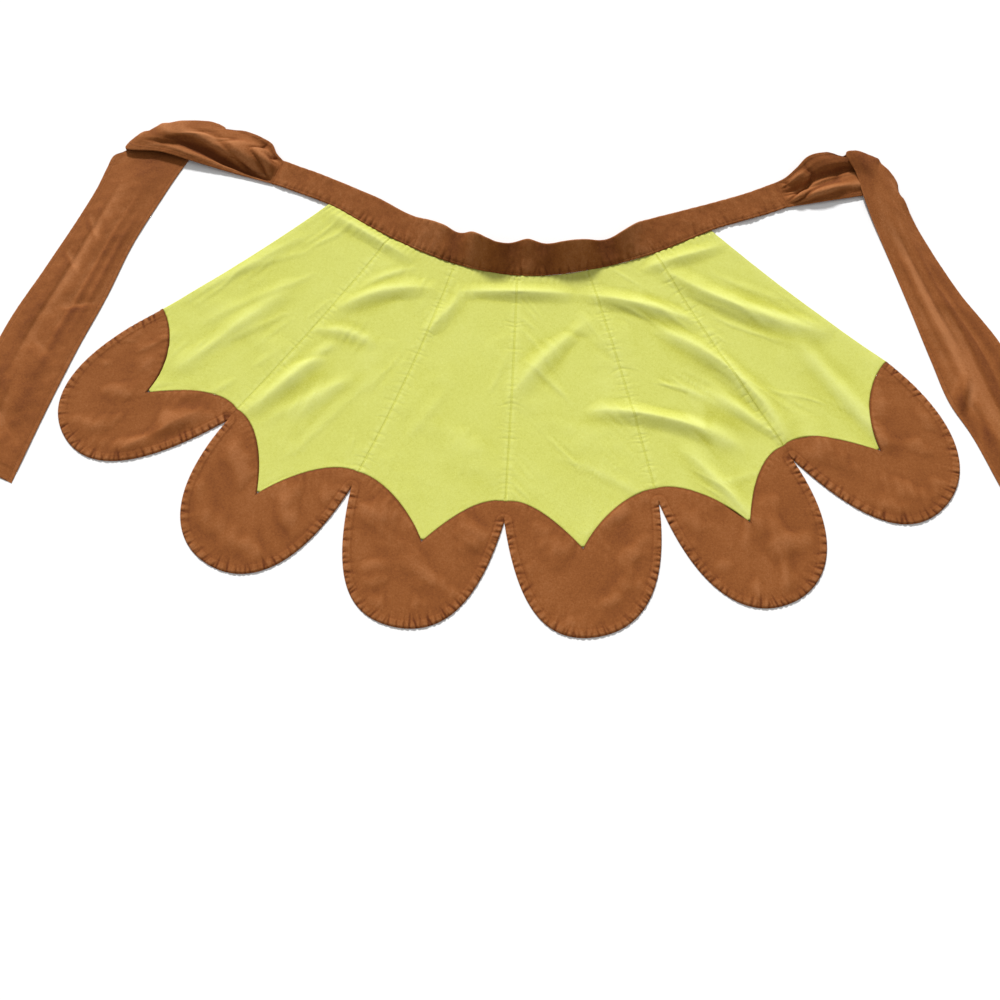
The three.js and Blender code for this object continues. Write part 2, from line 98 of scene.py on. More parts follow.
# Steps of each piece's grid: along the waistband or the edge, and across that. A petal's first
# number counts for each half of its edge, and a tie's are across it and along it
GORE_GRID = 60, 220
PETAL_GRID = 180, 42
BAND_GRID = 480, 34
TIE_GRID = 60, 460

# Sewn lines: how far each lies from its seam or edge
SEAM_STITCH = 0.9
HEM_STITCH = 1.4
BAND_STITCH = 3
TIE_STITCH = 5
END_STITCH = 15

# How much paler a ridge and darker a furrow are painted, as painted light and shade with some wear:
# the reach in grid steps that it is compared over, and the most it changes
SHADE_REACH = 5
SHADE_LIMIT = 0.22

# Seeds of the random draws. Those of gores, petals and seams are counted on by their number
SEEDS = dict(
    skirt=11, seam=40, waist=60, gore_hem=70, rim=80, rim_wave=85, petal_hem=90, band=91,
    band_wave=92, band_fine=93, band_fold=94, tie_left=110, tie_right=120, seam_furrow=140,
    pull=200, petal=300, petal_fine=320,
)


def listed(names, *rows):
    """The rows of a table, with each value under the name of its column."""
    return [dict(zip(names.split(), row)) for row in rows]


# The waistband at equal steps along its seam edge
BAND = listed(
    "x y width rise",
    (-0.443, 0.196, 0.84, 5),
    (-0.384, 0.172, 0.82, 6),
    (-0.328, 0.146, 0.81, 8),
    (-0.276, 0.112, 0.91, 10),
    (-0.222, 0.079, 0.89, 12),
    (-0.167, 0.05, 0.92, 20),
    (-0.11, 0.026, 1.0, 30),
    (-0.049, 0.009, 0.94, 42),
    (0.012, 0.001, 1.03, 30),
    (0.074, 0.004, 0.95, 40),
    (0.136, 0.015, 0.87, 38),
    (0.196, 0.031, 0.85, 30),
    (0.255, 0.052, 1.02, 16),
    (0.312, 0.079, 0.93, 10),
    (0.368, 0.104, 0.82, 7),
    (0.428, 0.123, 0.84, 6),
    (0.486, 0.145, 0.88, 5),
)

# Ripples of the waistband's outer edge. at: share of its length; spread: half width, as a share;
# out: millimetres that the edge bulges
BAND_WAVES = listed(
    "at spread out",
    (0.31, 0.05, 2.5),
    (0.363, 0.035, -3.5),
    (0.405, 0.04, 3.0),
    (0.468, 0.045, -3.0),
    (0.503, 0.04, 2.0),
    (0.541, 0.035, -2.5),
    (0.6, 0.045, 2.5),
    (0.656, 0.04, -3.5),
    (0.71, 0.05, 3.0),
)

# How the fine pulls of each gore run: heading in degrees, and height in millimetres
PULLS = listed(
    "heading height",
    (42, 0.7),
    (60, 0.5),
    (78, 0.3),
    (-50, 0.4),
    (-38, 0.6),
    (-35, 0.5),
)
PULL_PITCH = 11

# The side edges and the seams between the gores, from left to right
SEAMS = listed(
    "at heading length bow short",
    (0.113, -142.3, 0.783, 0.01, 0.2),
    (0.246, -126.2, 0.984, 0.01, 0.87),
    (0.375, -111.1, 1.016, 0.016, 1),
    (0.488, -92.8, 1.032, 0.003, 1.2),
    (0.614, -76.4, 1.007, 0.008, 0.85),
    (0.739, -61.9, 0.996, -0.008, 0.87),
    (0.853, -42.8, 0.864, -0.012, 0.2),
)

# One row for each petal and the point of the gore above it
PETALS = listed(
    "length tip left right point lean",
    (1.03, 0.04, 0.5, 0.52, 1.02, 0.03),
    (0.975, 0.0, 0.56, 0.52, 0.99, -0.02),
    (0.92, 0.0, 0.46, 0.48, 0.74, 0.03),
    (0.915, -0.05, 0.5, 0.47, 0.73, -0.03),
    (0.99, 0.03, 0.5, 0.62, 0.95, 0.03),
    (0.99, -0.08, 0.54, 0.5, 1.08, -0.05),
)

# The folds of the skirt. start, end: gore counted from the left side edge, and share of the way down
# to the notches; height: share of FOLD_HEIGHT; width: share of FOLD_WIDTH; bow: bend to the left
FOLDS = listed(
    "start end height width bow",
    ((1.05, 0.42), (2.0, 0.12), 0.6, 0.6, 0.1),
    ((1.0, 0.52), (1.65, 0.44), 0.4, 0.5, 0.1),
    ((1.05, 0.98), (1.32, 0.46), 0.6, 0.6, 0),
    ((1.35, 0.86), (1.6, 0.58), 0.3, 0.5, 0),
    ((2.1, 0.12), (3.85, 0.1), 0.7, 0.5, 0),
    ((3.75, 0.09), (5.0, 0.36), 0.9, 0.6, 0.03),
    ((4.85, 0.02), (5.86, 0.74), 1.0, 0.7, -0.06),
    ((2.95, 0.54), (3.95, 0.2), 0.5, 0.7, 0.04),
    ((4.4, 0.28), (5.02, 1.0), 0.9, 0.6, 0.12),
    ((3.6, 0.58), (4.75, 0.9), 0.9, 0.6, 0.07),
    ((4.7, 0.6), (5.02, 0.93), 0.5, 0.45, 0),
    ((5.58, 0.6), (5.5, 1.3), 0.5, 0.6, 0),
    ((4.3, 0.8), (4.57, 1.2), 0.5, 0.5, 0),
    ((2.3, 0.1), (2.0, 0.36), 0.35, 0.5, 0),
    ((0.1, 0.8), (0.25, 0.2), 0.35, 0.5, 0),
    ((0.5, 1.1), (0.62, 0.4), 0.4, 0.6, 0),
    ((0.62, 1.5), (0.86, 0.98), 0.5, 0.6, 0),
    ((4.7, 1.05), (4.5, 1.6), 0.4, 0.8, 0),
    ((0.05, 0.04), (1.5, 0.05), 0.6, 0.5, 0),
    ((4.6, 0.05), (5.97, 0.1), 0.5, 0.5, 0),
)

# Small folds and dents of the skirt, as above, but height and half width in millimetres
WRINKLES = listed(
    "start end height width bow",
    ((0.35, 0.95), (0.72, 0.3), 1.1, 9, 0.04),
    ((0.55, 0.98), (0.86, 0.42), 0.9, 7, 0.03),
    ((0.15, 0.6), (0.5, 0.22), 0.8, 8, 0.02),
    ((0.75, 1.1), (0.95, 0.62), 0.8, 7, 0),
    ((0.2, 1.3), (0.35, 0.85), 0.7, 8, 0),
    ((1.08, 0.3), (1.6, 0.06), 1.3, 8, 0.05),
    ((1.05, 0.7), (1.5, 0.5), -1.2, 8, 0.05),
    ((1.2, 0.95), (1.55, 0.62), 0.9, 8, 0),
    ((1.5, 1.1), (1.85, 0.5), 0.7, 10, 0.02),
    ((2.1, 0.35), (2.75, 0.2), -0.9, 9, 0.04),
    ((2.15, 0.9), (2.5, 0.45), 0.8, 11, 0),
    ((2.6, 0.75), (2.95, 0.32), 0.7, 9, -0.03),
    ((3.08, 0.35), (3.6, 0.62), 1.0, 9, 0.05),
    ((3.3, 0.75), (3.95, 1.0), 1.1, 9, 0.05),
    ((3.4, 0.2), (4.0, 0.42), -1.0, 8, 0.03),
    ((4.1, 0.5), (4.8, 0.75), 1.2, 7, 0.08),
    ((4.1, 0.15), (4.7, 0.4), 1.1, 7, 0.06),
    ((4.3, 1.0), (4.95, 1.02), 0.9, 7, 0.03),
    ((5.05, 0.3), (5.6, 0.7), 1.0, 8, -0.04),
    ((5.1, 0.7), (5.5, 1.0), 0.8, 8, 0),
    ((5.4, 0.15), (5.85, 0.5), 0.9, 8, -0.05),
)

# The ties, with the columns that their solids have, and bands of painted light and shade on the
# cloth, given by start and end in millimetres along it and share across it, half width in
# millimetres, and tone
LEFT_TIE = dict(
    side=-1, pivot=(-0.32, 0.435), slant=(0.86, 1.04),
    light_and_shade_bands=listed(
        "start end width tone",
        ((20, 0.6), (190, 0.45), 16, 0.4),
        ((-20, 0.05), (150, 0.36), 9, -0.7),
        ((150, 0.6), (240, 0.5), 50, -0.3),
        ((215, 0.35), (480, 0.4), 13, 0.25),
        ((300, 0.68), (640, 0.7), 16, -0.22),
        ((420, 0.2), (760, 0.3), 16, -0.2),
    ),
    start=(0.35, 0.35, 0.65), finish=(0, 0, 0),
    run=listed(
        "along bulge low high puff",
        (0.12, 0.03, 0.02, 0.35, 0.2),
        (0.3, 0.12, 0.06, 0.4, 0.4),
        (0.5, 0.14, 0.25, 0.4, 0.4),
        (0.75, 0.09, 0.5, 0.4, 0.45),
    ),
    pleats=listed(
        "across spread height reach",
        (0.2, 0.2, -0.3, 0.6),
        (0.55, 0.3, 0.5, 0.8),
        (0.85, 0.15, -0.25, 0.7),
    ),
    drop=listed(
        "along inner outer lift ridge",
        (0.07, 0.13, 1.1, 0, 0.05),
        (0.14, 0.17, 1.08, 0, 0.1),
        (0.25, 0.17, 1.03, 0, 0.2),
        (0.36, 0.15, 1.0, 0, 0.25),
        (0.52, 0.03, 0.98, 0, 0.15),
        (0.66, -0.04, 0.97, 0, 0.1),
        (0.8, -0.14, 0.88, 0, 0.15),
        (1, -0.31, 0.71, 0, 0.05),
    ),
)
RIGHT_TIE = dict(
    side=1, pivot=(0.41, 0.39), slant=(0.72, 0.48),
    light_and_shade_bands=listed(
        "start end width tone",
        ((150, 0.68), (640, 0.66), 20, 0.42),
        ((190, 0.2), (700, 0.22), 18, -0.25),
        ((420, 0.85), (560, 0.8), 16, -0.35),
        ((20, 0.7), (200, 0.78), 24, -0.35),
        ((10, 0.22), (170, 0.2), 14, 0.25),
    ),
    start=(0, 0.8, 0), finish=(0.2, 1.15, 0.15),
    run=listed(
        "along bulge low high puff",
        (0.12, 0, 0.05, 0.4, 0),
        (0.3, 0.04, 0.1, 0.9, 0),
        (0.5, 0.12, 0.1, 1.1, -0.1),
        (0.75, 0.1, 0.05, 0.95, -0.1),
    ),
    pleats=listed(
        "across spread height reach",
        (0.25, 0.2, 0.2, 0.8),
        (0.5, 0.2, -0.3, 0.9),
    ),
    drop=listed(
        "along inner outer lift ridge",
        (0.06, -0.03, 0.43, 0.62, 0.25),
        (0.12, -0.05, 0.44, 0.4, 0.4),
        (0.18, -0.06, 0.46, 0.2, 0.5),
        (0.26, -0.06, 0.5, 0.05, 0.5),
        (0.42, -0.07, 0.64, 0, 0.4),
        (0.56, -0.09, 0.85, 0, 0.2),
        (0.67, -0.09, 0.91, 0, 0.15),
        (0.75, 0, 0.98, 0, 0.15),
        (0.88, 0.07, 1.06, 0, 0.1),
        (1, 0.14, 1.13, 0, 0.05),
    ),
)

# Pressed creases and small folds of the ties. start, end: millimetres along the cloth from the
# waistband and share of the width from the outer edge; height in millimetres, negative for a furrow;
# width: half width in millimetres; skew: how much steeper the inner flank is
LEFT_CREASES = listed(
    "start end height width skew",
    ((-12, 0.03), (135, 0.36), -5.5, 6, 0.4),
    ((-12, 0.2), (150, 0.58), 3, 7, 0.5),
    ((-10, 0.05), (120, 0.72), -2.2, 4, 0.3),
    ((-10, 0.04), (150, 0.5), -2.2, 4, 0.3),
    ((-5, 0.02), (130, 0.16), 3, 8, -0.4),
    ((70, 0.2), (200, 0.3), -3, 7, 0.2),
    ((60, 0.4), (190, 0.12), 2.5, 6, 0.3),
    ((60, 0.6), (185, 0.3), 1.6, 6, -0.3),
    ((230, 0.3), (560, 0.33), 0.9, 8, 0.7),
    ((240, 0.62), (520, 0.6), 0.9, 9, -0.7),
    ((260, 0.82), (470, 0.8), -0.7, 5, 0.3),
    ((300, 0.1), (330, 0.5), 1.1, 7, 0.4),
    ((355, 0.08), (375, 0.45), 1.0, 7, 0.4),
    ((430, 0.4), (400, 0.98), 0.9, 7, 0.4),
    ((470, 0.2), (490, 0.85), 1.0, 12, 0.2),
    ((560, 0.05), (600, 0.9), 0.9, 14, 0.2),
    ((500, 0.45), (760, 0.5), 0.8, 7, 0.6),
)
RIGHT_CREASES = listed(
    "start end height width skew",
    ((-5, 0.55), (150, 0.55), -4, 7, 0.5),
    ((-5, 0.25), (110, 0.2), 2.2, 6, 0.2),
    ((-5, 0.4), (90, 0.45), -2, 5, 0.2),
    ((10, 0.12), (90, 0.3), 1.5, 5, 0.2),
    ((-5, 0.75), (60, 0.85), 1.8, 6, 0.2),
    ((190, 0.45), (560, 0.52), 2.6, 16, 0.6),
    ((205, 0.6), (430, 0.56), 1.2, 5, 0.5),
    ((210, 0.78), (480, 0.72), -1.3, 6, 0.4),
    ((260, 0.3), (520, 0.25), 1.0, 6, -0.5),
    ((330, 0.4), (600, 0.62), 1.6, 8, 0.5),
    ((420, 0.6), (470, 0.98), -1.4, 7, 0.2),
    ((440, 0.7), (520, 0.98), 1.4, 7, 0.2),
    ((540, 0.4), (760, 0.45), 0.8, 8, 0.5),
)


def smooth(values, place):
    """Catmull-Rom curve through equally spaced values, read at places counted in values."""
    values = np.asarray(values, float)
    place = np.asarray(place, float)
    last = len(values) - 1
    i = np.clip(np.floor(place).astype(int), 0, last - 1)
    t = place - i
    a, b, c, d = (values[np.clip(i + k, 0, last)] for k in (-1, 0, 1, 2))
    return b + 0.5 * t * (c - a + t * (2 * a - 5 * b + 4 * c - d + t * (3 * (b - c) + d - a)))


def flow(knots, values, at):
    """Hermite curve through values at uneven knots, with the slopes of the parabola through three."""
    slopes = np.gradient(values, knots, axis=0)
    i = np.clip(np.searchsorted(knots, at, side="right") - 1, 0, len(knots) - 2)
    width = knots[i + 1] - knots[i]
    shape = (-1,) + (1,) * (values.ndim - 1)
    t = ((at - knots[i]) / width).reshape(shape)
    width = width.reshape(shape)
    near = (1 + 2 * t) * (1 - t) ** 2 * values[i] + t * t * (3 - 2 * t) * values[i + 1]
    return near + width * t * (1 - t) * ((1 - t) * slopes[i] - t * slopes[i + 1])


def column(table, name, share):
    """One column of a table, read smoothly at shares of its length."""
    return smooth([row[name] for row in table], np.asarray(share) * (len(table) - 1))


def hump(distance):
    """1 at the middle and 0 from a distance of 1 outwards, half a cosine wave between."""
    return (1 + np.cos(np.pi * np.clip(np.abs(distance), 0, 1))) / 2


def ramp(x, low, high):
    """0 below low, 1 above high, and a smooth cubic step between."""
    t = np.clip((x - low) / (high - low), 0, 1)
    return t * t * (3 - 2 * t)


def left_of(v):
    """The vectors turned a quarter turn to the left."""
    return np.stack([-v[..., 1], v[..., 0]], -1)


def unit(v):
    """The vectors at length 1."""
    return v / np.maximum(np.linalg.norm(v, axis=-1, keepdims=True), 1e-9)


def cubic(a, b, c, d, t):
    """Cubic curve: the four points weighted by (1-t)^3, 3t(1-t)^2, 3t^2(1-t) and t^3."""
    t = t[..., None]
    return a * (1 - t) ** 3 + 3 * b * t * (1 - t) ** 2 + 3 * c * t * t * (1 - t) + d * t**3


def crumple(place, wavelength, seed):
    """Unevenness of cloth: the mean of 14 plane sine waves in random directions and phases."""
    draw = np.random.default_rng(seed)
    angle = draw.uniform(0, 2 * np.pi, 14)
    length = wavelength * draw.uniform(0.6, 1.7, 14)
    wave = np.stack([np.cos(angle), np.sin(angle)]) * 2 * np.pi / length
    return np.sin(place @ wave + draw.uniform(0, 2 * np.pi, 14)).mean(-1) * 2


def tent(distance):
    """1 at the middle and 0 from a distance of 1 outwards, straight between: a pressed crease."""
    return np.clip(1 - np.abs(distance), 0, 1)


def crest(distance):
    """A fold of cloth: part hump and part squared tent, with a crisp crest and a soft foot."""
    return 0.45 * hump(distance) + 0.55 * tent(np.sqrt(distance**2 + 0.002)) ** 2


def groove(distance, width):
    """1 on a line and falling off to both sides of it: exp(-(distance / width)^2)."""
    return np.exp(-((distance / width) ** 2))


def fading(distance, reach):
    """1 at an edge and dying out away from it: exp(-distance / reach)."""
    return np.exp(-distance / reach)


def rounded(distance, radius, least):
    """Thickness of a rounded rim: the square root of 1 - (1 - distance / radius)^2, where that square
    is kept above least."""
    return np.sqrt(np.clip(1 - (1 - np.clip(distance / radius, 0, 1)) ** 2, least, 1))


def gathers(phase):
    """Narrow furrows between broad swells: 2 |sin|^0.6 - 1."""
    return 2 * np.abs(np.sin(phase)) ** 0.6 - 1


def ridge(place, start, end, width, bow=0.0, skew=0.0, profile=crest):
    """A fold from start to end: half a sine along it times a profile across it. Its line bends by bow
    shares of its length, and skew makes one flank steeper than the other."""
    run = end - start
    reach = np.linalg.norm(run)
    offset = place - start
    share = np.clip(offset @ run / reach**2, 0, 1)
    aside = offset @ left_of(run / reach) - bow * reach * 4 * share * (1 - share)
    half = width * (1 + skew * np.sign(aside))
    return np.sin(np.pi * share) * profile(aside / half)


def band_edge(share):
    """The seam edge of the waistband at shares of its length."""
    return np.stack([column(BAND, "x", share), column(BAND, "y", share)], -1) * BAND_LENGTH


def band_direction(share):
    """Unit vectors along that edge, from a short step each way."""
    share = np.asarray(share, float)
    step = 0.5 / BAND_COLUMNS
    return unit(band_edge(np.minimum(share + step, 1)) - band_edge(np.maximum(share - step, 0)))


def heading_vector(degrees):
    """The unit vector at an angle from the x axis."""
    turn = math.radians(degrees)
    return np.array([math.cos(turn), math.sin(turn)])


# Each seam with its ends worked out: at the waist, at the notch, and at the top of the short seam
# above the notch, with the bow of its middle
for row in SEAMS:
    along = heading_vector(row["heading"])
    row["waist"] = band_edge(row["at"])
    row["notch"] = row["waist"] + along * row["length"] * GORE_LENGTH
    row["arch"] = row["notch"] - along * row["short"] * PETAL_SEAM
    row["bend"] = left_of(along) * row["bow"] * GORE_LENGTH


def fan_place(gore, down):
    """A place of the fan by gore and by share of the way from the waist to the notches."""
    waist = band_edge(smooth([row["at"] for row in SEAMS], gore))
    notch = smooth(np.array([row["notch"] for row in SEAMS]), gore)
    return waist + (notch - waist) * down


def lift(place):
    """Height of the skirt over the floor: the sum of the folds that cross it."""
    height = np.zeros(place.shape[:-1])
    for row in FOLDS:
        start, end = fan_place(*row["start"]), fan_place(*row["end"])
        bump = ridge(place, start, end, row["width"] * FOLD_WIDTH, row["bow"])
        height += row["height"] * FOLD_HEIGHT * bump
    return height


class Petal:
    """The frame of a petal: the line between its notches, and the direction in which it reaches."""

    def __init__(self, i):
        """Reads row i of PETALS and the two seams beside it."""
        self.row = PETALS[i]
        self.seams = SEAMS[i], SEAMS[i + 1]
        chord = self.seams[1]["notch"] - self.seams[0]["notch"]
        self.width = np.linalg.norm(chord)
        self.along = chord / self.width
        self.out = -left_of(self.along)
        self.middle = (self.seams[0]["notch"] + self.seams[1]["notch"]) / 2

    def place(self, along, out):
        """A place by shares of the width along the line and millimetres out from it."""
        return self.middle + self.along * along * self.width + self.out * out

    def halves(self, u, curve):
        """A curve of two halves that meet at u = 0.5, each made from its own corner."""
        t = 1 - np.abs(2 * u - 1)
        return np.where((u < 0.5)[..., None], curve(-1, self.seams[0], t), curve(1, self.seams[1], t))

    def hem(self, u):
        """The line between gore and petal: two hollow cubic flanks that meet in the point."""
        drop = self.row["point"] * POINT_DROP
        lean = self.row["lean"]

        def flank(side, seam, t):
            """A flank leaves the top of the short seam level and inwards, and dives to the point."""
            first = seam["arch"] - side * ARCH_FLATNESS * self.width * self.along
            second = self.place(lean + side * POINT_WIDTH, POINT_START * drop)
            return cubic(seam["arch"], first, second, self.place(lean, drop), t)

        return self.halves(u, flank)

    def edge(self, u):
        """The outer edge from notch to notch: two full cubic flanks that meet at the round end."""
        out = self.row["length"] * PETAL_LENGTH
        tip = self.row["tip"]

        def flank(side, seam, t):
            """A flank swells out from the notch to its side, and arrives level at the round end."""
            swell = -self.row["left"] if side < 0 else self.row["right"]
            first = self.place(swell, FLANK_START * out)
            second = self.place(tip + side * ROUND_END, out)
            return cubic(seam["notch"], first, second, self.place(tip, out), t)

        return self.halves(u, flank)

    def weave(self, plan):
        """Places in the flat cloth in metres, along the line between the notches and out from it."""
        return np.stack([plan @ self.along, plan @ self.out], -1) / 1000

    def cut(self, outline):
        """Width and length, in metres, of the rectangle that an outline was cut from."""
        return [float(np.ptp(outline @ axis)) / 1000 for axis in (self.along, self.out)]


petals = [Petal(i) for i in range(len(PETALS))]


def lengths(points, axis):
    """Running length in millimetres along one axis of a grid of points."""
    step = np.linalg.norm(np.diff(points, axis=axis), axis=-1)
    total = np.cumsum(step, axis=axis)
    first = np.zeros_like(np.take(total, [0], axis=axis))
    return np.concatenate([first, total], axis=axis)


def ends_dense(count, power=1.6):
    """Shares from 0 to 1 that lie closer together near both ends."""
    t = np.linspace(-1, 1, count)
    return (1 + np.sign(t) * (1 - (1 - np.abs(t)) ** power)) / 2


def even_steps(curve, count):
    """Shares of a curve of two halves, at count equal steps of length in each half: the running
    length of a fine polyline, read backwards. The polyline ends just short of the half's own end."""
    fine = np.linspace(0, 0.5, 800)
    shares = []
    for start in (0, 0.5):
        run = lengths(curve(start + fine * 0.9999), 0)
        shares.append(start + np.interp(np.linspace(0, run[-1], count + 1), run, fine))
    return np.concatenate([shares[0][:-1], shares[1]])


def beside(places, line):
    """Distance of each place from a line of points, and the running length at its nearest point: the
    smallest of |p|^2 + |q|^2 - 2 p.q over the line."""
    squares = (places**2).sum(-1)[..., None] + (line**2).sum(-1) - 2 * places @ line.T
    nearest = squares.argmin(-1)
    gap = np.sqrt(np.maximum(np.take_along_axis(squares, nearest[..., None], -1)[..., 0], 0))
    return gap, lengths(line, 0)[nearest]


def normals(points):
    """Unit normals of a grid of points: the slope down the rows crossed with that across them."""
    return unit(np.cross(np.gradient(points, axis=0), np.gradient(points, axis=1)))


# Where the solids' frame has its origin, seen from the tables' own
edges = np.concatenate([petals[3].edge(np.linspace(0, 1, 25)), petals[3].hem(np.linspace(0, 1, 25))])
solid_low, solid_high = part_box("petal_4")
SHIFT = np.zeros(3)
SHIFT[:2] = (np.array(solid_low)[:2] + np.array(solid_high)[:2]) / 2
SHIFT[:2] -= (edges.min(0) + edges.max(0)) / 2000


def cloth(name, top, bottom, weave, stitch, shade, material):
    """A closed cloth wall. The quads of the top grid face up, those of the bottom grid face down, and
    a strip of quads joins their rims. Weave is the place in the flat cloth in metres, stitch the
    distance from a sewn line and the length along it in millimetres, and shade the painted light
    and shade, with some wear, that makes its colour paler or darker."""
    rows, columns = top.shape[:2]
    count = rows * columns
    k = np.arange(count).reshape(rows, columns)
    quads = np.stack([k[:-1, :-1], k[1:, :-1], k[1:, 1:], k[:-1, 1:]], -1).reshape(-1, 4)
    rim = np.concatenate([k[:-1, 0], k[-1, :-1], k[:0:-1, -1], k[0, :0:-1]])
    after = np.roll(rim, -1)
    sides = np.stack([rim, rim + count, after + count, after], -1)
    faces = np.concatenate([quads, quads[:, ::-1] + count, sides])
    points = np.concatenate([top.reshape(-1, 3), bottom.reshape(-1, 3)]) / 1000 + SHIFT
    mesh = bpy.data.meshes.new(name)
    mesh.vertices.add(len(points))
    mesh.vertices.foreach_set("co", points.astype(np.float32).ravel())
    mesh.loops.add(faces.size)
    mesh.loops.foreach_set("vertex_index", faces.astype(np.int32).ravel())
    mesh.polygons.add(len(faces))
    mesh.polygons.foreach_set("loop_start", np.arange(0, faces.size, 4, dtype=np.int32))
    mesh.polygons.foreach_set("loop_total", np.full(len(faces), 4, np.int32))
    mesh.polygons.foreach_set("use_smooth", np.ones(len(faces), bool))
    for layer, values in (("weave", weave), ("stitch", stitch)):
        flat = np.concatenate([values.reshape(-1, 2)] * 2)[faces.ravel()].astype(np.float32)
        mesh.uv_layers.new(name=layer).data.foreach_set("uv", flat.ravel())
    # The painted light and shade, with some wear, kept at each point
    shade_and_wear = mesh.attributes.new("shade_and_wear", "FLOAT", "POINT")
    shade_and_wear.data.foreach_set("value", np.tile(shade.ravel(), 2).astype(np.float32))
    mesh.update()
    mesh.validate()
    mesh.materials.append(material)
    piece = bpy.data.objects.new(name, mesh)
    bpy.context.scene.collection.objects.link(piece)
    return piece


def node(tree, kind, links=(), **values):
    """A shader node with its settings, its input values and the sockets that feed it."""
    made = tree.nodes.new(kind)
    for key, value in values.items():
        setattr(made, key, value)
    for socket, source in links:
        if hasattr(source, "is_output"):
            tree.links.new(source, made.inputs[socket])
        else:
            made.inputs[socket].default_value = source
    return made


def math_node(tree, operation, first, second=0.0):
    """The result of one arithmetic step."""
    return node(tree, "ShaderNodeMath", [(0, first), (1, second)], operation=operation).outputs[0]


def cotton(name, deep, mid, pale, thread, mottle):
    """Plain-woven cotton: the product of two sine waves for the crossed threads, with uneven slubs,
    broad patches where the dye took lighter or darker by mottle, the painted light and shade of each
    piece with some wear (paler ridges, darker furrows, creases and hem lines), and a dashed line of
    sewing thread."""
    material = bpy.data.materials.new(name)
    material.use_nodes = True
    tree = material.node_tree
    tree.nodes.clear()
    weave = node(tree, "ShaderNodeUVMap", uv_map="weave").outputs[0]
    place = node(tree, "ShaderNodeTexCoord").outputs["Object"]

    def stretched(scale, detail, source, stretch):
        """Noise of a scale and detail, read at the source times the stretch of each axis."""
        moved = node(tree, "ShaderNodeMapping", [("Vector", source), ("Scale", stretch)]).outputs[0]
        links = [("Vector", moved), ("Scale", scale), ("Detail", detail), ("Roughness", 0.6)]
        return node(tree, "ShaderNodeTexNoise", links).outputs[0]

    def times(first, second):
        """The first value times the second."""
        return math_node(tree, "MULTIPLY", first, second)

    def plus(first, second):
        """The first value plus the second."""
        return math_node(tree, "ADD", first, second)

    def about(source, middle, gain):
        """The source less a middle value, times a gain."""
        return times(math_node(tree, "SUBTRACT", source, middle), gain)

    slub_along = stretched(scale=260.0, detail=2.0, source=weave, stretch=(1.0, 7.0, 1.0))
    slub_across = stretched(scale=260.0, detail=2.0, source=weave, stretch=(7.0, 1.0, 1.0))
    parts = node(tree, "ShaderNodeSeparateXYZ", [(0, weave)])

    def threads(axis, slub):
        """The sine of the place along an axis, its beat shifted by the slub."""
        phase = times(parts.outputs[axis], 2 * math.pi / (THREAD_PITCH / 1000))
        return math_node(tree, "SINE", plus(phase, times(slub, 4.0)))

    woven = times(threads(0, slub_along), threads(1, slub_across))
    slubs = plus(slub_along, slub_across)
    patch = stretched(scale=14.0, detail=4.0, source=place, stretch=(1.0, 1.0, 1.0))
    fine = stretched(scale=420.0, detail=4.0, source=place, stretch=(1.0, 1.0, 1.0))

    # The painted light and shade, with some wear, that each piece carries: it shifts the tone
    shade_and_wear = node(tree, "ShaderNodeAttribute", attribute_name="shade_and_wear").outputs["Fac"]
    tone = plus(about(patch, 0.5, 0.5 * mottle), about(fine, 0.5, 0.5 * mottle))
    tone = plus(tone, about(slubs, 1.0, 0.45))
    tone = plus(tone, times(woven, 0.05))
    tone = plus(tone, plus(shade_and_wear, 0.5))
    colour = node(tree, "ShaderNodeValToRGB", [("Fac", tone)])
    stops = colour.color_ramp.elements
    stops[0].position, stops[0].color = 0.0, (*deep, 1)
    stops[1].position, stops[1].color = 1.0, (*pale, 1)
    stops.new(0.5).color = (*mid, 1)

    line = node(tree, "ShaderNodeUVMap", uv_map="stitch").outputs[0]
    across = node(tree, "ShaderNodeSeparateXYZ", [(0, line)])
    near = math_node(tree, "LESS_THAN", math_node(tree, "ABSOLUTE", across.outputs[0]), STITCH_HALF)
    beat = math_node(tree, "FRACT", math_node(tree, "DIVIDE", across.outputs[1], STITCH_PITCH))
    dash = times(near, math_node(tree, "LESS_THAN", beat, STITCH_SHARE))
    mixed = node(tree, "ShaderNodeMix", data_type="RGBA")
    tree.links.new(dash, mixed.inputs["Factor"])
    tree.links.new(colour.outputs[0], mixed.inputs["A"])
    mixed.inputs["B"].default_value = (*thread, 1)

    relief = plus(times(woven, 0.5), times(slubs, 2.2))
    relief = plus(relief, times(fine, 1.6))
    relief = plus(relief, times(dash, 1.2))
    links = [("Strength", 0.5), ("Distance", 0.00018), ("Height", relief)]
    bump = node(tree, "ShaderNodeBump", links)
    rough = plus(times(slubs, 0.08), 0.78)
    shader = node(tree, "ShaderNodeBsdfPrincipled", [
        ("Roughness", rough), ("Normal", bump.outputs[0]), ("Sheen Weight", 0.12),
        ("Sheen Roughness", 0.5), ("Specular IOR Level", 0.25),
    ])
    tree.links.new(mixed.outputs["Result"], shader.inputs["Base Color"])
    shader.inputs["Sheen Tint"].default_value = (*pale, 1)
    output = node(tree, "ShaderNodeOutputMaterial")
    tree.links.new(shader.outputs[0], output.inputs[0])
    return material


yellow_cotton = cotton(
    "yellow_cotton",
    deep=(0.44, 0.43, 0.012),
    mid=(0.655, 0.67, 0.145),
    pale=(0.8, 0.83, 0.3),
    thread=(0.58, 0.59, 0.09),
    mottle=0.55,
)
brown_cotton = cotton(
    "brown_cotton",
    deep=(0.14, 0.032, 0.003),
    mid=(0.275, 0.084, 0.015),
    pale=(0.43, 0.165, 0.055),
    thread=(0.19, 0.055, 0.012),
    mottle=1.1,
)


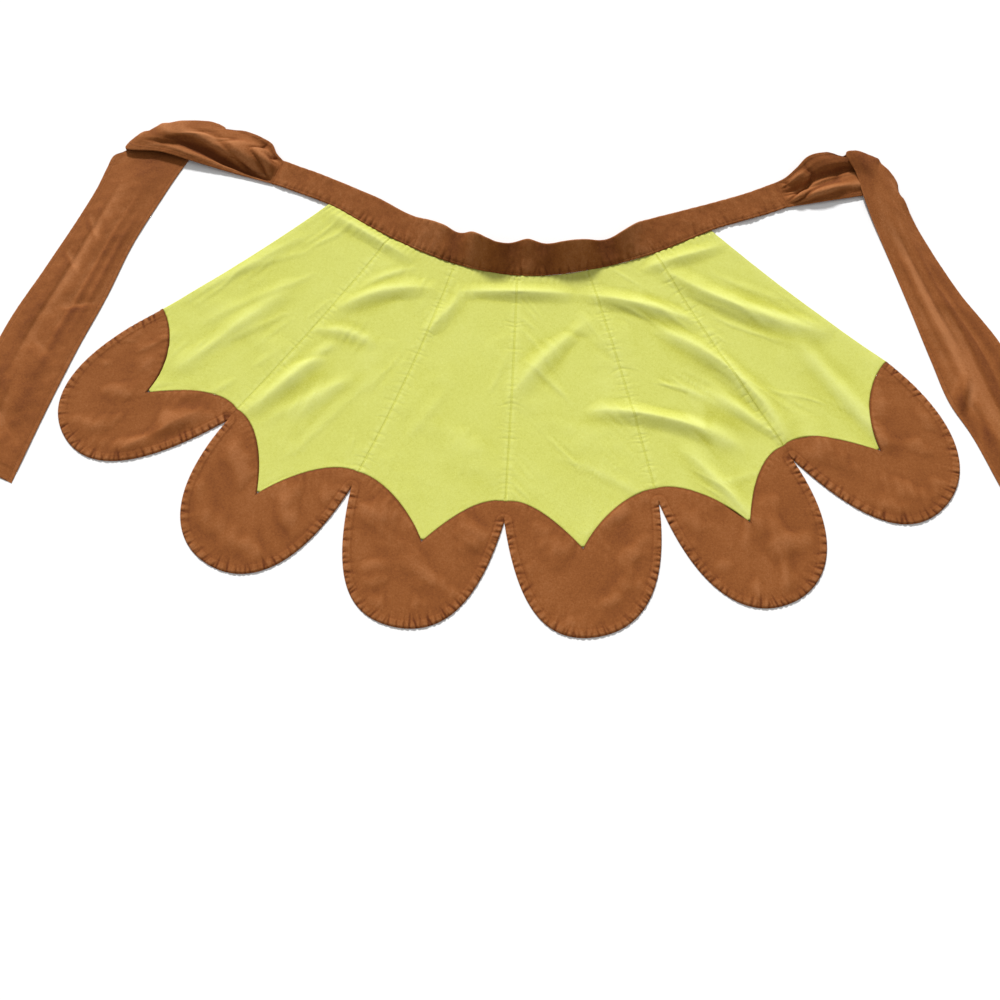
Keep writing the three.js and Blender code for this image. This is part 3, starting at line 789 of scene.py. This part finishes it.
def puckers(length, depth, seed, pitch=PUCKER_PITCH):
    """Small gathers along a sewn edge, a pitch apart on average: their beat and strength drift by
    slow sine waves."""
    draw = np.random.default_rng(seed)
    drift = sum(
        draw.uniform(0.3, 0.8) * np.sin(length / draw.uniform(9, 45) + draw.uniform(0, 6))
        for _ in range(4)
    )
    strength = 0.55 + 0.45 * np.sin(length / draw.uniform(12, 24) + 2 * drift)
    return depth * strength * gathers(np.pi * length / pitch + drift)


def pulls(place, heading, seed):
    """Fine parallel pulls in the cloth: a sharpened wave across the heading, in degrees, whose beat
    drifts, times a slow patchiness that leaves parts of the cloth smooth."""
    direction = heading_vector(heading)
    along, aside = place @ direction, place @ left_of(direction)
    drift = 1.2 * crumple(np.stack([along / 3, aside], -1), 30, seed)
    wave = 1 - 1.6 * np.abs(np.sin(np.pi * aside / PULL_PITCH + drift)) ** 0.8
    return wave * ramp(crumple(np.stack([along / 2.5, aside], -1), 45, seed + 1), -0.1, 0.7)


def furrows(length, depth_across, seed, pitch=PUCKER_PITCH):
    """Deep narrow gathers along a sewn edge: each is a Gaussian notch about 1 mm wide, a random step
    of a pitch after the one before it, and reaches its own way in from the edge, at depth_across."""
    draw = np.random.default_rng(seed)
    places = np.cumsum(draw.uniform(0.45, 1.55, int(length.max() / pitch) + 2) * pitch)
    result = np.zeros(np.broadcast(length, depth_across).shape)
    for place in places:
        reach, depth = draw.uniform(4, 11), draw.uniform(0.3, 1)
        slant = draw.uniform(-0.35, 0.35)
        aside = length - place + slant * depth_across
        result -= depth * groove(aside, 1.15) * groove(depth_across, reach)
    return result


def skirt_height(place, seed):
    """Height of the skirt's cloth: the large folds, the small ones beside them, and the unevenness of
    washed cotton at three sizes."""
    height = lift(place)
    for row in WRINKLES:
        start, end = fan_place(*row["start"]), fan_place(*row["end"])
        height += row["height"] * ridge(place, start, end, row["width"], row["bow"], 0.3)
    height += 0.9 * crumple(place, 80, seed) + 0.2 * crumple(place, 26, seed + 1)
    return height + 0.05 * crumple(place, 10, seed + 2)


def bend_shade(height, gain):
    """Painted light and shade of the bends, with some wear: ridges are paler and furrows darker, by
    the height of each place over the mean of itself and the four places that lie SHADE_REACH steps
    away in the grid, times a gain and kept small."""
    padded = np.pad(height, SHADE_REACH, mode="edge")
    rows, columns = height.shape
    places = (0, 1), (2, 1), (1, 0), (1, 2), (1, 1)
    corners = [(SHADE_REACH * r, SHADE_REACH * c) for r, c in places]
    mean = sum(padded[r : r + rows, c : c + columns] for r, c in corners) / len(corners)
    return np.clip(gain * (height - mean), -SHADE_LIMIT, SHADE_LIMIT)


def make_gore(i):
    """Gore i: its plan runs straight from the waistband to the hem line between two bowed seams. Its
    height is that of the skirt, with a groove and puckers along each seam, and a rounded rim."""
    left, right = SEAMS[i], SEAMS[i + 1]
    u = ends_dense(GORE_GRID[0])
    v = np.linspace(0, 1, GORE_GRID[1])[:, None, None]
    waist = band_edge(left["at"] + (right["at"] - left["at"]) * u)
    hem = petals[i].hem(u)
    bow = left["bend"] + (right["bend"] - left["bend"]) * u[:, None]
    plan = waist + (hem - waist) * v + bow * 4 * v * (1 - v)
    across, down = lengths(plan, 1), lengths(plan, 0)
    from_left, from_right = across, across[:, -1:] - across
    from_top, from_hem = down, down[-1:] - down
    seam = np.minimum(from_left, from_right)
    side = np.where(from_left < from_right, i, i + 1)
    run = np.where(side == i, down[:, :1], down[:, -1:])
    open_sides = 0, len(PETALS)

    free = ramp(seam, 1, 16) * ramp(from_hem, 0, 12) * ramp(from_top, 0, 14)
    pulled = free * PULLS[i]["height"] * pulls(plan, PULLS[i]["heading"], seed=SEEDS["pull"] + i)
    height = np.maximum(skirt_height(plan, SEEDS["skirt"]) + pulled, 0)
    allowance = ramp(seam, GORE_ALLOWANCE, GORE_ALLOWANCE - 1.5) * (side == i)
    sewn = -0.3 * groove(seam, 1.1) + 0.12 * allowance
    for s in (i, i + 1):
        reach = 8 + 4 * np.sin(run / 17 + s)
        strength = 0.15 if s in open_sides else 0.6
        waves = puckers(run, 0.25, seed=SEEDS["seam"] + s, pitch=10)
        waves = waves * (fading(seam, reach) - 0.7 * fading(seam, 1.5))
        pinched = furrows(run, seam, seed=SEEDS["seam_furrow"] + s, pitch=8) * ramp(seam, -0.5, 1.5)
        sewn += np.where(side == s, strength * (waves + pinched), 0)
    waist_waves = puckers(across, 0.7, seed=SEEDS["waist"] + i)
    sewn += waist_waves * fading(from_top, 9) * ramp(from_top, -1, 3)
    sewn += puckers(across, 0.5, seed=SEEDS["gore_hem"] + i) * fading(from_hem, 6)

    rim = np.minimum(np.where(np.isin(side, open_sides), seam, GORE_ALLOWANCE), from_hem)
    wall = np.maximum(GORE_CLOTH * rounded(rim, 0.7, 0.15) + GORE_LOFT + sewn, 0.15)
    # Painted shade: darker in furrows, in the seam groove and along the hem line; paler on ridges, as
    # wear and painted highlight, and in a strip 3 mm from the seam
    shade_and_wear = bend_shade(height + sewn, 0.22) - 0.05 * groove(seam, 1.2)
    shade_and_wear += 0.06 * groove(seam - 3, 2) - 0.35 * groove(from_hem, 0.8)
    name = f"gore_{i + 1}"
    piece = cloth(
        f"{name}_cloth",
        top=np.dstack([plan, height + wall]),
        bottom=np.dstack([plan, height]),
        weave=petals[i].weave(plan),
        stitch=np.stack([seam - SEAM_STITCH, run], -1),
        shade=shade_and_wear,
        material=yellow_cotton,
    )
    return piece, name, plan


def make_petal(i):
    """Petal i: its plan runs straight from the hem line to the rounded edge. The edge is turned in
    and sewn, so it has a rounded rim, a flat strip where the seam lies inside, and puckers."""
    petal = petals[i]
    u = even_steps(petal.edge, PETAL_GRID[0])
    v = 1 - (1 - np.linspace(0, 1, PETAL_GRID[1])) ** 1.35
    hem, edge = petal.hem(u), petal.edge(u)
    plan = hem + (edge - hem) * v[:, None, None]
    across = lengths(plan, 1)
    from_edge, edge_run = beside(plan, petal.edge(even_steps(petal.edge, 360)))
    from_hem, hem_run = beside(plan, petal.hem(even_steps(petal.hem, 240)))
    rim = np.minimum(np.minimum(from_edge, across), across[:, -1:] - across)

    waves = 1.7 * crumple(plan, 55, SEEDS["petal"] + i)
    waves = waves + 0.45 * crumple(plan, 20, SEEDS["petal_fine"] + i)
    skirt = skirt_height(plan, SEEDS["skirt"]) * ramp(from_edge, -6, 22)
    height = np.maximum(skirt + waves * ramp(rim, 0, 24), 0)
    pinched = furrows(edge_run, from_edge, seed=SEEDS["rim"] + i)
    rim_waves = puckers(edge_run, 0.4, seed=SEEDS["rim_wave"] + i)
    sewn = 1.6 * pinched + rim_waves * groove(from_edge, 8)
    sewn += puckers(hem_run, 0.4, seed=SEEDS["petal_hem"] + i, pitch=9) * fading(from_hem, 6)
    sewn += 0.4 * ramp(from_edge, PETAL_ALLOWANCE, PETAL_ALLOWANCE - 2) - 0.5 * groove(from_hem, 1.2)

    wall = np.maximum((PETAL_CLOTH + sewn) * rounded(from_edge, 2.4, 0.03), 0.2)
    # Painted shade: darker in furrows, in the gathers at the rim, where the turned-in allowance ends
    # and along the hem line; paler on ridges, as wear and painted highlight, and just inside the rim
    shade_and_wear = bend_shade(height + sewn, 0.45) + 0.1 * groove(from_edge - 2, 2) + 0.6 * pinched
    shade_and_wear -= 0.12 * groove(from_edge - PETAL_ALLOWANCE, 1.2)
    shade_and_wear -= 0.4 * groove(from_hem, 0.8)
    name = f"petal_{i + 1}"
    piece = cloth(
        f"{name}_cloth",
        top=np.dstack([plan, height + wall]),
        bottom=np.dstack([plan, height]),
        weave=petal.weave(plan),
        stitch=np.stack([from_hem - HEM_STITCH, hem_run], -1),
        shade=shade_and_wear,
        material=brown_cotton,
    )
    return piece, name, plan


def band_point(share, across):
    """The waistband's middle surface at shares of its length and of its width."""
    rise = np.radians(column(BAND, "rise", share))
    width = column(BAND, "width", share) * BAND_WIDTH
    out = left_of(band_direction(share))
    edge = band_edge(share) + out * (across * width * np.cos(rise))[..., None]
    return np.concatenate([edge, (BAND_THICKNESS / 2 + across * width * np.sin(rise))[..., None]], -1)


def make_band():
    """The waistband: a ruled strip that leans up from its seam edge, thickened along its normals,
    with puckers along the seam, a sewn line above it and a folded outer edge."""
    share, across = np.meshgrid(np.linspace(0, 1, BAND_GRID[0]), 1 - ends_dense(BAND_GRID[1], 1.4))
    wave = sum(row["out"] * hump((share - row["at"]) / row["spread"]) for row in BAND_WAVES)
    middle = band_point(share, across * (1 + wave / BAND_WIDTH))
    width = column(BAND, "width", share) * BAND_WIDTH
    from_seam, from_fold = across * width, (1 - across) * width
    run = lengths(middle, 1)[-1:]
    plane = np.stack([run + 0 * width, from_seam], -1)

    pinched = furrows(run, np.abs(from_seam - 2), seed=SEEDS["band"], pitch=8)
    seam_waves = puckers(run, 0.6, seed=SEEDS["band"], pitch=8)
    relief = seam_waves * groove(from_seam - 4, 8) + 0.9 * pinched
    relief = relief + puckers(run, 0.5, seed=SEEDS["band_fold"], pitch=11) * groove(from_fold, 7)
    relief = relief + 0.55 * crumple(plane, 30, SEEDS["band_wave"])
    relief = relief + 0.22 * crumple(plane, 10, SEEDS["band_fine"])
    relief = relief + 0.9 * wave * across**2
    relief -= 0.35 * groove(from_seam - BAND_STITCH, 1.0)
    # The lines where the ties are sewn on: one at the left end and two at the right
    total = run[:, -1:]
    relief -= sum(0.6 * groove(line, 1.3) for line in (run - 2, total - run - 2, total - run - 15))

    up = normals(middle)
    half = BAND_CLOTH / 2 * rounded(np.minimum(from_seam, from_fold), 1.6, 0.04)
    top = middle + up * (half + relief)[..., None]
    bottom = middle - up * (half - relief)[..., None]
    bottom[..., 2] = np.maximum(bottom[..., 2], 0)
    top[..., 2] = np.maximum(top[..., 2], bottom[..., 2] + 0.2)
    # Painted light and shade: paler along the folded edge and on the crests of the ripples and
    # ridges, darker in their valleys and in the gathers' furrows
    shade_and_wear = 0.15 * groove(from_fold, 2) + 0.07 * wave + 0.4 * bend_shade(relief, 1) + 0.3 * pinched
    stitch = np.stack([from_seam - BAND_STITCH, run + 0 * width], -1)
    piece = cloth("waistband_cloth", top, bottom, plane / 1000, stitch, shade_and_wear, brown_cotton)
    return piece, "waistband", middle


def sewn_end(tie):
    """The end of the waistband that a tie is sewn to, as a share of its length."""
    return np.array(0.0 if tie["side"] < 0 else 1.0)


def drop_line(tie):
    """The line of a tie's drop: from the near end of its fold, clear of the petal beside it."""
    pivot = band_edge(sewn_end(tie)) + np.array(tie["pivot"]) * TIE_RUN
    petal = petals[0 if tie["side"] < 0 else -1]
    radius = PASSING_RADIUS * petal.width
    to_centre = petal.place(0, PETAL_LENGTH - radius) - pivot
    far = np.linalg.norm(to_centre)
    spread = tie["side"] * math.asin((radius + TIE_CLEARANCE) / far)
    c, s = math.cos(spread), math.sin(spread)
    along = np.array([[c, -s], [s, c]]) @ to_centre / far
    return pivot, along, left_of(along) * tie["side"]


def fold_height(heights, a):
    """Height across the fold of a tie: a slope from its far to its near end, and an arch on it."""
    far, near, middle = heights
    return TIE_TURN * (far + (near - far) * a + middle * np.sin(np.pi * a))


def tie_sections(tie, a):
    """The sections of a tie from the waistband to its free end, each read at shares a from its outer
    to its inner edge: the run with its pleats, the half-round turn whose ends are rounded off, and
    the drop with its ridge."""
    side = tie["side"]
    pivot, along, across = drop_line(tie)
    half = TIE_THICKNESS / 2

    def drop_point(x, y, z):
        """A place x along the drop from its pivot, y across it and z up."""
        return np.append(pivot + along * x + across * y, z)

    def section(outer, inner, lift_by, bow):
        """The line between two edge points, bowed outwards, lifted and kept off the floor."""
        line = outer + (inner - outer) * a[:, None] + outward * (bow + 0 * a)[:, None]
        line[:, 2] = np.maximum(line[:, 2] + lift_by, half)
        return line

    far = np.array(tie["slant"]) * TIE_WIDTH
    fold_inner, fold_outer = drop_point(0, 0, half), drop_point(far[0], far[1], half)
    fold_run = unit(fold_outer - fold_inner)
    outward = np.array([-fold_run[1], fold_run[0], 0]) * side
    crown = TIE_CROWN * np.sin(np.pi * a)
    corner = TIE_CORNER * (np.clip(np.abs(2 * a - 1) - CORNER_START, 0, 1) / (1 - CORNER_START)) ** 2
    middle = TIE_TURN * hump(2 * a - 1)
    end_outer, end_inner = (band_point(sewn_end(tie), np.array(x)) for x in (0.0, 1.0))
    rows = [section(end_outer, end_inner, 0, 0)]
    for row in tie["run"]:
        outer = end_outer + (fold_outer - end_outer) * row["along"]
        inner = end_inner + (fold_inner - end_inner) * row["along"]
        outer[2], inner[2] = half + row["low"] * TIE_TURN, half + row["high"] * TIE_TURN
        push = unit((inner - outer) * [1, 1, 0])
        raised = row["puff"] * middle
        for pleat in tie["pleats"]:
            fade = math.sin(math.pi * math.sqrt(min(row["along"] / pleat["reach"], 1)))
            shape = hump((a - pleat["across"]) / pleat["spread"])
            raised = raised + fade * pleat["height"] * TIE_TURN * shape
        inner = inner + push * row["bulge"] * TIE_WIDTH
        rows.append(section(outer, inner, raised, row["along"] ** 2 * crown))
    start, finish = fold_height(tie["start"], a), fold_height(tie["finish"], a)
    for turn in np.linspace(0, np.pi, 9):
        raised = start + (finish - start) * (1 - math.cos(turn)) / 2
        bow = crown + np.abs(start - finish) / 2 * math.sin(turn) - corner
        rows.append(section(fold_outer, fold_inner, raised, bow))
    for row in tie["drop"]:
        x, height = row["along"] * TIE_DROP, half + row["lift"] * TIE_TURN
        slant = far[0] * (1 - min(row["along"] / SLANT_FADE, 1))
        outer = drop_point(x + slant, row["outer"] * TIE_WIDTH, height)
        inner = drop_point(x, row["inner"] * TIE_WIDTH, height)
        bow = crown * max(1 - row["along"] / CROWN_FADE, 0)
        rows.append(section(outer, inner, row["ridge"] * middle, bow))
    return np.array(rows)


def line_ends(row):
    """The two ends of a crease in the flat tie, in millimetres along and across it."""
    return [np.array([along, share * TIE_WIDTH]) for along, share in (row["start"], row["end"])]


def make_tie(tie, creases, name):
    """A tie: a smooth curve runs through its sections at each share of its width, creases and hems
    move that surface along its normals, and the cloth's thickness is added on both sides."""
    seed = SEEDS[name]
    a = ends_dense(TIE_GRID[0], 1.3)
    control = tie_sections(tie, a)
    knots = lengths(control.mean(1), 0)
    surface = flow(knots, control, np.linspace(0, knots[-1], TIE_GRID[1]))
    along = lengths(surface.mean(1), 0)[:, None] + 0 * a
    width = np.linalg.norm(surface[:, -1] - surface[:, 0], axis=-1)[:, None]
    plane = np.stack([along, a * TIE_WIDTH + 0 * along], -1)
    from_edge = np.minimum(a, 1 - a) * TIE_WIDTH
    from_end = along[-1:] - along

    relief = 0.7 * crumple(plane, 60, seed) + 0.35 * crumple(plane, 24, seed + 1)
    relief += 0.1 * crumple(plane, 9, seed + 3)
    for row in creases:
        start, end = line_ends(row)
        on_drop = row["start"][0] > DROP_START
        gain = 2.2 * ramp(width, 15, 60) if on_drop else 1
        crease = ridge(plane, start, end, 1.5 * row["width"], 0, row["skew"], tent)
        relief = relief + gain * row["height"] * crease
    # Gathers that fan out from a point beyond the corner where the tie is sewn on
    angle = np.arctan2(plane[..., 1] + 4, along + 14)
    fade = ramp(along, 0, 14) * ramp(along, 170, 25) * ramp(from_edge, 1, 16)
    relief = relief + 2.0 * fade * gathers(7 * angle + 1.5 * crumple(plane, 70, seed + 5))
    relief = relief * (0.3 + 0.7 * ramp(from_edge, -4, 16))
    hem = ramp(from_edge, TIE_HEM, TIE_HEM - 1)
    relief = relief + 0.3 * hem + puckers(along, 0.16, seed + 2, pitch=9) * hem
    relief = relief + 0.4 * ramp(from_end, END_HEM, END_HEM - 1)
    relief -= 0.4 * groove(from_end - (END_HEM - 1), 1.0)
    relief = relief * ramp(along, -1, 12)

    up = normals(surface) * (1 if tie["side"] > 0 else -1)
    half = TIE_CLOTH / 2 * rounded(np.minimum(from_edge, from_end), 1.2, 0.05)
    top = surface + up * (half + relief)[..., None]
    bottom = surface - up * (half - relief)[..., None]
    top[..., 2] = np.maximum(top[..., 2], 0.05)
    bottom[..., 2] = np.maximum(bottom[..., 2], 0)
    sewn_line = np.minimum(from_edge - TIE_STITCH, np.abs(from_end - END_STITCH))
    stitch = np.stack([sewn_line, along], -1)
    # Painted light and shade: paler along the edges and on ridges, darker in furrows, and the tie's
    # bands of painted light and shade
    shade_and_wear = 0.1 * groove(from_edge, 1.5) + bend_shade(relief, 0.35)
    for row in tie["light_and_shade_bands"]:
        shade_and_wear = shade_and_wear + row["tone"] * ridge(plane, *line_ends(row), row["width"], 0, 0.2)
    parts = [top, bottom, plane / 1000, stitch, shade_and_wear]
    if tie["side"] < 0:
        parts = [part[:, ::-1] for part in parts]
    return cloth(f"{name}_cloth", *parts, brown_cotton), name, surface


def gore_cut(i):
    """The rectangle that gore i was cut from: it holds the hem line and both ends at the waist."""
    ends = np.array([SEAMS[i]["waist"], SEAMS[i + 1]["waist"]])
    return petals[i].cut(np.concatenate([petals[i].hem(np.linspace(0, 1, 41)), ends]))


def petal_cut(i):
    """The rectangle that petal i was cut from: it holds the outer edge."""
    return petals[i].cut(petals[i].edge(np.linspace(0, 1, 81)))


def settle(made, cut):
    """Dresses one solid with its piece of cloth: hangs the piece under the root body and hides the
    solid. The sheet that the piece was cut as is not used.
    """
    piece, name, grid = made
    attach(piece, "root")
    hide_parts(name)


for i in range(len(PETALS)):
    settle(make_gore(i), gore_cut(i))
    settle(make_petal(i), petal_cut(i))
settle(make_band(), (BAND_LENGTH / 1000, BAND_WIDTH / 1000))
tie_cut = TIE_WIDTH / 1000, (TIE_RUN + TIE_DROP) / 1000
settle(make_tie(LEFT_TIE, LEFT_CREASES, "tie_left"), tie_cut)
settle(make_tie(RIGHT_TIE, RIGHT_CREASES, "tie_right"), tie_cut)

# The floor lies just under the cloth
FLOOR_SIZE = 12
FLOOR_DROP = 0.0004
bpy.ops.mesh.primitive_plane_add(size=FLOOR_SIZE, location=(0, 0, -FLOOR_DROP))
floor = bpy.context.object
floor.name = "floor"
floor_white = bpy.data.materials.new("floor_white")
floor_white.use_nodes = True
paint = floor_white.node_tree.nodes["Principled BSDF"].inputs
paint["Base Color"].default_value = (0.95, 0.95, 0.95, 1)
paint["Roughness"].default_value = 0.9
floor.data.materials.append(floor_white)

# A white room, and a low window behind the waistband whose light rakes over the folds
ROOM_LIGHT = 0.42
WINDOW_LIGHT = 4.0
WINDOW_SPREAD = 8
WINDOW_SIDE = Vector((-0.2, 0.88, 0.58))
scene = bpy.context.scene
scene.view_settings.view_transform = "Standard"
room = bpy.data.worlds.new("room")
room.use_nodes = True
room.node_tree.nodes["Background"].inputs["Color"].default_value = (1, 1, 1, 1)
room.node_tree.nodes["Background"].inputs["Strength"].default_value = ROOM_LIGHT
scene.world = room
daylight = bpy.data.lights.new("window", "SUN")
daylight.energy = WINDOW_LIGHT
daylight.angle = math.radians(WINDOW_SPREAD)
window = bpy.data.objects.new("window", daylight)
window.rotation_mode = "QUATERNION"
window.rotation_quaternion = WINDOW_SIDE.to_track_quat("Z", "Y")
scene.collection.objects.link(window)

# The camera looks down at the apron from in front of the petals
CAMERA_FIELD = 30
CAMERA_ELEVATION = 65
CAMERA_DISTANCE = 2.0526
CAMERA_AIM = -0.0198, -0.2866, 0
camera = bpy.data.objects.new("camera", bpy.data.cameras.new("camera"))
camera.data.sensor_width = 36
camera.data.lens = camera.data.sensor_width / 2 / math.tan(math.radians(CAMERA_FIELD / 2))
elevation = math.radians(CAMERA_ELEVATION)
back = np.array([0, -math.cos(elevation), math.sin(elevation)])
camera.location = np.array(CAMERA_AIM) + SHIFT + CAMERA_DISTANCE * back
camera.rotation_euler = (math.radians(90) - elevation, 0, 0)
scene.collection.objects.link(camera)
scene.camera = camera
